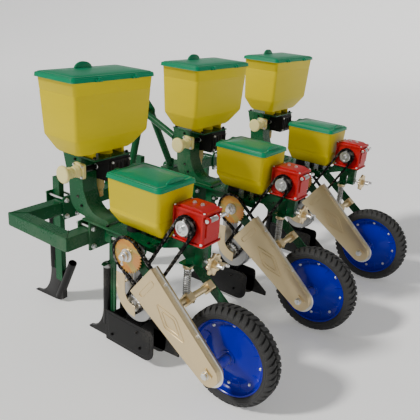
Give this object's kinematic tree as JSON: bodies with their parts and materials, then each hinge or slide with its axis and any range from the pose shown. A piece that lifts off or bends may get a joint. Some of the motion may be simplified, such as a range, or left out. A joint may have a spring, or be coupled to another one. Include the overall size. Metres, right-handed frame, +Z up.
{
  "type": "corn planter",
  "caption": "Tractor-mounted corn planter with seed boxes, fertiliser hoppers, openers, seed meters and chain-driven press wheels on a welded frame.",
  "frame": {"origin": "middle of the footprint, on the ground that the press wheels and the front tine points stand on", "axes": "+X across the machine to the right, +Y forward in the direction of travel, +Z up"},
  "size_m": [1.75, 1.4844, 1.1933],
  "materials": {
    "green_paint": "glossy dark green enamel",
    "black_paint": "satin black enamel",
    "red_paint": "glossy red enamel",
    "blue_paint": "glossy blue enamel",
    "gold_zinc": "yellow iridescent zinc plating",
    "bright_steel": "bright zinc plating",
    "grey_casting": "dull grey casting",
    "yellow_plastic": "moulded polyethylene",
    "lid_plastic": "moulded plastic, semi-gloss",
    "cream_plastic": "moulded nylon",
    "amber_plastic": "cloudy translucent plastic",
    "black_plastic": "black moulded plastic",
    "tyre_rubber": "treaded rubber"
  },
  "bodies": {
    "root": {"front_beam": "green_paint", "rear_beam": "green_paint", "side_beams": "green_paint", "mast": "green_paint", "hitch_brackets": "green_paint", "hitch_pins": "bright_steel", "row_frames": "green_paint", "gearboxes": "red_paint", "dosing_boxes": "black_plastic", "outlet_cups": "amber_plastic", "fertiliser_tines": "green_paint", "fertiliser_tubes": "green_paint", "seed_openers": "black_paint", "meter_housings": "grey_casting", "clamp_bolts": "bright_steel", "left_fertiliser_hopper": "yellow_plastic", "left_seed_box": "yellow_plastic", "left_press_spring": "grey_casting", "middle_fertiliser_hopper": "yellow_plastic", "middle_seed_box": "yellow_plastic", "middle_press_spring": "grey_casting", "right_fertiliser_hopper": "yellow_plastic", "right_seed_box": "yellow_plastic", "right_press_spring": "grey_casting"},
    "left_arm": {"left_press_arm": "green_paint", "left_chain_cover": "gold_zinc"},
    "left_wheel": {"left_press_tyre": "tyre_rubber", "left_press_rim": "blue_paint"},
    "left_fertiliser_lid": {"left_fertiliser_lid": "lid_plastic"},
    "left_seed_lid": {"left_seed_lid": "lid_plastic"},
    "left_dosing_knob": {"left_dosing_knob": "cream_plastic"},
    "left_main_sprocket": {"left_main_sprocket": "gold_zinc"},
    "left_gearbox_sprocket": {"left_gearbox_sprocket": "bright_steel"},
    "left_seed_disc": {"left_seed_disc": "bright_steel"},
    "left_depth_handwheel": {"left_depth_handwheel": "gold_zinc"},
    "left_gear_lever": {"left_gear_lever": "bright_steel"},
    "middle_arm": {"middle_press_arm": "green_paint", "middle_chain_cover": "gold_zinc"},
    "middle_wheel": {"middle_press_tyre": "tyre_rubber", "middle_press_rim": "blue_paint"},
    "middle_fertiliser_lid": {"middle_fertiliser_lid": "lid_plastic"},
    "middle_seed_lid": {"middle_seed_lid": "lid_plastic"},
    "middle_dosing_knob": {"middle_dosing_knob": "cream_plastic"},
    "middle_main_sprocket": {"middle_main_sprocket": "gold_zinc"},
    "middle_gearbox_sprocket": {"middle_gearbox_sprocket": "bright_steel"},
    "middle_seed_disc": {"middle_seed_disc": "bright_steel"},
    "middle_depth_handwheel": {"middle_depth_handwheel": "gold_zinc"},
    "middle_gear_lever": {"middle_gear_lever": "bright_steel"},
    "right_arm": {"right_press_arm": "green_paint", "right_chain_cover": "gold_zinc"},
    "right_wheel": {"right_press_tyre": "tyre_rubber", "right_press_rim": "blue_paint"},
    "right_fertiliser_lid": {"right_fertiliser_lid": "lid_plastic"},
    "right_seed_lid": {"right_seed_lid": "lid_plastic"},
    "right_dosing_knob": {"right_dosing_knob": "cream_plastic"},
    "right_main_sprocket": {"right_main_sprocket": "gold_zinc"},
    "right_gearbox_sprocket": {"right_gearbox_sprocket": "bright_steel"},
    "right_seed_disc": {"right_seed_disc": "bright_steel"},
    "right_depth_handwheel": {"right_depth_handwheel": "gold_zinc"},
    "right_gear_lever": {"right_gear_lever": "bright_steel"}
  },
  "joints": [
    {"name": "left_arm_swing", "type": "hinge", "parent": "root", "child": "left_arm", "pos_m": [-0.67, -0.15771, 0.5295], "axis": [-1, 0, 0], "range_deg": [0, 10], "stiffness_Nm_per_rad": 500, "springref_deg": -40.11, "deforming": ["left_press_spring"]},
    {"name": "left_wheel_spin", "type": "hinge", "parent": "left_arm", "child": "left_wheel", "pos_m": [-0.67, -0.54624, 0.196], "axis": [1, 0, 0], "continuous": true},
    {"name": "left_main_shaft_spin", "type": "hinge", "parent": "root", "child": "left_main_sprocket", "pos_m": [-0.67, -0.15771, 0.5295], "axis": [1, 0, 0], "continuous": true},
    {"name": "left_gearbox_shaft_spin", "type": "hinge", "parent": "root", "child": "left_gearbox_sprocket", "pos_m": [-0.67, -0.38215, 0.67958], "axis": [1, 0, 0], "continuous": true},
    {"name": "left_seed_disc_spin", "type": "hinge", "parent": "root", "child": "left_seed_disc", "pos_m": [-0.67, -0.12055, 0.28715], "axis": [1, 0, 0], "continuous": true},
    {"name": "left_dosing_knob_turn", "type": "hinge", "parent": "root", "child": "left_dosing_knob", "pos_m": [-0.67, 0.13986, 0.78597], "axis": [1, 0, 0], "continuous": true},
    {"name": "left_fertiliser_lid_hinge", "type": "hinge", "parent": "root", "child": "left_fertiliser_lid", "pos_m": [-0.67, -0.01873, 1.14391], "axis": [1, 0, 0], "range_deg": [0, 100]},
    {"name": "left_seed_lid_hinge", "type": "hinge", "parent": "root", "child": "left_seed_lid", "pos_m": [-0.67, -0.03289, 0.81366], "axis": [-1, 0, 0], "range_deg": [0, 80]},
    {"name": "left_handwheel_turn", "type": "hinge", "parent": "root", "child": "left_depth_handwheel", "pos_m": [-0.652, -0.44837, 0.53379], "axis": [0, 0.9985, 0.0541], "continuous": true},
    {"name": "left_gear_lever_slide", "type": "slide", "parent": "root", "child": "left_gear_lever", "axis": [1, 0, 0], "range_m": [0, 0.01]},
    {"name": "middle_arm_swing", "type": "hinge", "parent": "root", "child": "middle_arm", "pos_m": [0, -0.15771, 0.5295], "axis": [-1, 0, 0], "range_deg": [0, 10], "stiffness_Nm_per_rad": 500, "springref_deg": -40.11, "deforming": ["middle_press_spring"]},
    {"name": "middle_wheel_spin", "type": "hinge", "parent": "middle_arm", "child": "middle_wheel", "pos_m": [0, -0.54624, 0.196], "axis": [1, 0, 0], "continuous": true},
    {"name": "middle_main_shaft_spin", "type": "hinge", "parent": "root", "child": "middle_main_sprocket", "pos_m": [0, -0.15771, 0.5295], "axis": [1, 0, 0], "continuous": true},
    {"name": "middle_gearbox_shaft_spin", "type": "hinge", "parent": "root", "child": "middle_gearbox_sprocket", "pos_m": [0, -0.38215, 0.67958], "axis": [1, 0, 0], "continuous": true},
    {"name": "middle_seed_disc_spin", "type": "hinge", "parent": "root", "child": "middle_seed_disc", "pos_m": [0, -0.12055, 0.28715], "axis": [1, 0, 0], "continuous": true},
    {"name": "middle_dosing_knob_turn", "type": "hinge", "parent": "root", "child": "middle_dosing_knob", "pos_m": [0, 0.13986, 0.78597], "axis": [1, 0, 0], "continuous": true},
    {"name": "middle_fertiliser_lid_hinge", "type": "hinge", "parent": "root", "child": "middle_fertiliser_lid", "pos_m": [0, -0.01873, 1.14391], "axis": [1, 0, 0], "range_deg": [0, 100]},
    {"name": "middle_seed_lid_hinge", "type": "hinge", "parent": "root", "child": "middle_seed_lid", "pos_m": [0, -0.03289, 0.81366], "axis": [-1, 0, 0], "range_deg": [0, 80]},
    {"name": "middle_handwheel_turn", "type": "hinge", "parent": "root", "child": "middle_depth_handwheel", "pos_m": [0.018, -0.44837, 0.53379], "axis": [0, 0.9985, 0.0541], "continuous": true},
    {"name": "middle_gear_lever_slide", "type": "slide", "parent": "root", "child": "middle_gear_lever", "axis": [1, 0, 0], "range_m": [0, 0.01]},
    {"name": "right_arm_swing", "type": "hinge", "parent": "root", "child": "right_arm", "pos_m": [0.67, -0.15771, 0.5295], "axis": [-1, 0, 0], "range_deg": [0, 10], "stiffness_Nm_per_rad": 500, "springref_deg": -40.11, "deforming": ["right_press_spring"]},
    {"name": "right_wheel_spin", "type": "hinge", "parent": "right_arm", "child": "right_wheel", "pos_m": [0.67, -0.54624, 0.196], "axis": [1, 0, 0], "continuous": true},
    {"name": "right_main_shaft_spin", "type": "hinge", "parent": "root", "child": "right_main_sprocket", "pos_m": [0.67, -0.15771, 0.5295], "axis": [1, 0, 0], "continuous": true},
    {"name": "right_gearbox_shaft_spin", "type": "hinge", "parent": "root", "child": "right_gearbox_sprocket", "pos_m": [0.67, -0.38215, 0.67958], "axis": [1, 0, 0], "continuous": true},
    {"name": "right_seed_disc_spin", "type": "hinge", "parent": "root", "child": "right_seed_disc", "pos_m": [0.67, -0.12055, 0.28715], "axis": [1, 0, 0], "continuous": true},
    {"name": "right_dosing_knob_turn", "type": "hinge", "parent": "root", "child": "right_dosing_knob", "pos_m": [0.67, 0.13986, 0.78597], "axis": [1, 0, 0], "continuous": true},
    {"name": "right_fertiliser_lid_hinge", "type": "hinge", "parent": "root", "child": "right_fertiliser_lid", "pos_m": [0.67, -0.01873, 1.14391], "axis": [1, 0, 0], "range_deg": [0, 100]},
    {"name": "right_seed_lid_hinge", "type": "hinge", "parent": "root", "child": "right_seed_lid", "pos_m": [0.67, -0.03289, 0.81366], "axis": [-1, 0, 0], "range_deg": [0, 80]},
    {"name": "right_handwheel_turn", "type": "hinge", "parent": "root", "child": "right_depth_handwheel", "pos_m": [0.688, -0.44837, 0.53379], "axis": [0, 0.9985, 0.0541], "continuous": true},
    {"name": "right_gear_lever_slide", "type": "slide", "parent": "root", "child": "right_gear_lever", "axis": [1, 0, 0], "range_m": [0, 0.01]}
  ],
  "couplings": [
    {"joint": "left_main_shaft_spin", "follows": "left_wheel_spin", "ratio": 0.5},
    {"joint": "left_gearbox_shaft_spin", "follows": "left_wheel_spin", "ratio": 0.5},
    {"joint": "left_seed_disc_spin", "follows": "left_wheel_spin", "ratio": 0.5},
    {"joint": "middle_main_shaft_spin", "follows": "middle_wheel_spin", "ratio": 0.5},
    {"joint": "middle_gearbox_shaft_spin", "follows": "middle_wheel_spin", "ratio": 0.5},
    {"joint": "middle_seed_disc_spin", "follows": "middle_wheel_spin", "ratio": 0.5},
    {"joint": "right_main_shaft_spin", "follows": "right_wheel_spin", "ratio": 0.5},
    {"joint": "right_gearbox_shaft_spin", "follows": "right_wheel_spin", "ratio": 0.5},
    {"joint": "right_seed_disc_spin", "follows": "right_wheel_spin", "ratio": 0.5}
  ]
}
